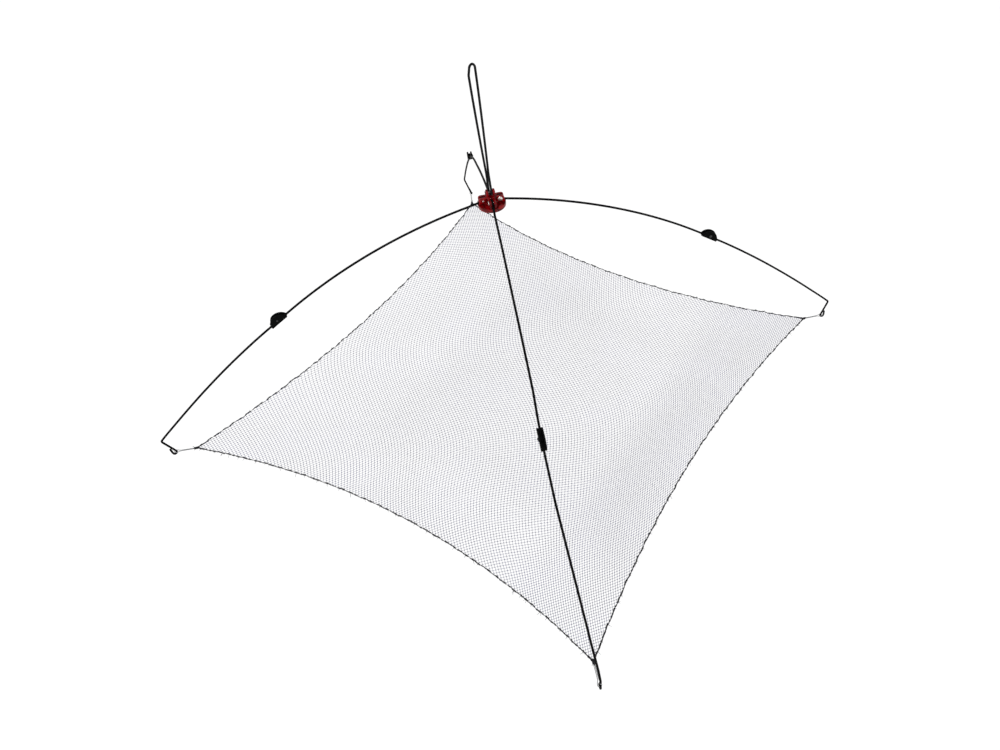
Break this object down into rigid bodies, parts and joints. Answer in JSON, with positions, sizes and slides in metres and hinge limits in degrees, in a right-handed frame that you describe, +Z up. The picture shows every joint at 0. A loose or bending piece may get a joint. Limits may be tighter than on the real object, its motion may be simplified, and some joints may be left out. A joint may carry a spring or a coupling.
{
  "type": "crab hoop net",
  "caption": "Square lift net hung below a red hub by curved folding spring-wire arms, with fold clips, corner ties, roped edges and a carrying loop.",
  "frame": {"origin": "underside of the crown of the carrying loop, where the line above holds the net", "axes": "+X out along the front arm, +Y out along the right arm, +Z up along the hub axis and the carrying loop"},
  "size_m": [1.5328, 1.5328, 0.8765],
  "materials": {
    "red_plastic": "glossy moulded, deep red",
    "black_plastic": "satin moulded, black",
    "rod_steel": "dark spring wire with a thin black coat",
    "black_steel": "blackened rivet",
    "bright_steel": "bright rivet",
    "netting": "fine dark twine netting, pale grey from a distance",
    "black_cord": "black twisted twine with stray fibres",
    "loop_cord": "black braided cord",
    "pale_cord": "pale grey thin twine"
  },
  "bodies": {
    "root": {"hub_body": "red_plastic", "crown_pin": "bright_steel", "carry_loop": "loop_cord", "net_panel": "netting", "hub_pin_front": "bright_steel", "hub_pin_right": "bright_steel", "hub_pin_back": "bright_steel", "hub_pin_left": "bright_steel", "corner_knot_front": "black_cord", "corner_knot_right": "black_cord", "corner_knot_back": "black_cord", "corner_knot_left": "black_cord", "edge_rope_front_right": "black_cord", "edge_rope_right_back": "black_cord", "edge_rope_back_left": "black_cord", "edge_rope_left_front": "black_cord"},
    "inner_arm_front": {"inner_rod_front": "rod_steel"},
    "outer_arm_front": {"fold_clip_front": "black_plastic", "clip_pin_front": "black_steel", "outer_rod_front": "rod_steel", "corner_tie_front": "pale_cord"},
    "inner_arm_right": {"inner_rod_right": "rod_steel"},
    "outer_arm_right": {"fold_clip_right": "black_plastic", "clip_pin_right": "black_steel", "outer_rod_right": "rod_steel", "corner_tie_right": "pale_cord"},
    "inner_arm_back": {"inner_rod_back": "rod_steel"},
    "outer_arm_back": {"fold_clip_back": "black_plastic", "clip_pin_back": "black_steel", "outer_rod_back": "rod_steel", "corner_tie_back": "pale_cord"},
    "inner_arm_left": {"inner_rod_left": "rod_steel"},
    "outer_arm_left": {"fold_clip_left": "black_plastic", "clip_pin_left": "black_steel", "outer_rod_left": "rod_steel", "corner_tie_left": "pale_cord"}
  },
  "joints": [
    {"name": "hub_hinge_front", "type": "hinge", "parent": "root", "child": "inner_arm_front", "pos_m": [0.016, 0, -0.2731], "axis": [0, -1, 0], "range_deg": [0, 40]},
    {"name": "clip_hinge_front", "type": "hinge", "parent": "inner_arm_front", "child": "outer_arm_front", "pos_m": [0.44742, 0, -0.46136], "axis": [0, -1, 0], "range_deg": [0, 175]},
    {"name": "hub_hinge_right", "type": "hinge", "parent": "root", "child": "inner_arm_right", "pos_m": [0, 0.016, -0.2731], "axis": [1, 0, 0], "range_deg": [0, 40]},
    {"name": "clip_hinge_right", "type": "hinge", "parent": "inner_arm_right", "child": "outer_arm_right", "pos_m": [0, 0.44742, -0.46136], "axis": [1, 0, 0], "range_deg": [0, 175]},
    {"name": "hub_hinge_back", "type": "hinge", "parent": "root", "child": "inner_arm_back", "pos_m": [-0.016, 0, -0.2731], "axis": [0, 1, 0], "range_deg": [0, 40]},
    {"name": "clip_hinge_back", "type": "hinge", "parent": "inner_arm_back", "child": "outer_arm_back", "pos_m": [-0.44742, 0, -0.46136], "axis": [0, 1, 0], "range_deg": [0, 175]},
    {"name": "hub_hinge_left", "type": "hinge", "parent": "root", "child": "inner_arm_left", "pos_m": [0, -0.016, -0.2731], "axis": [-1, 0, 0], "range_deg": [0, 40]},
    {"name": "clip_hinge_left", "type": "hinge", "parent": "inner_arm_left", "child": "outer_arm_left", "pos_m": [0, -0.44742, -0.46136], "axis": [-1, 0, 0], "range_deg": [0, 175]}
  ]
}
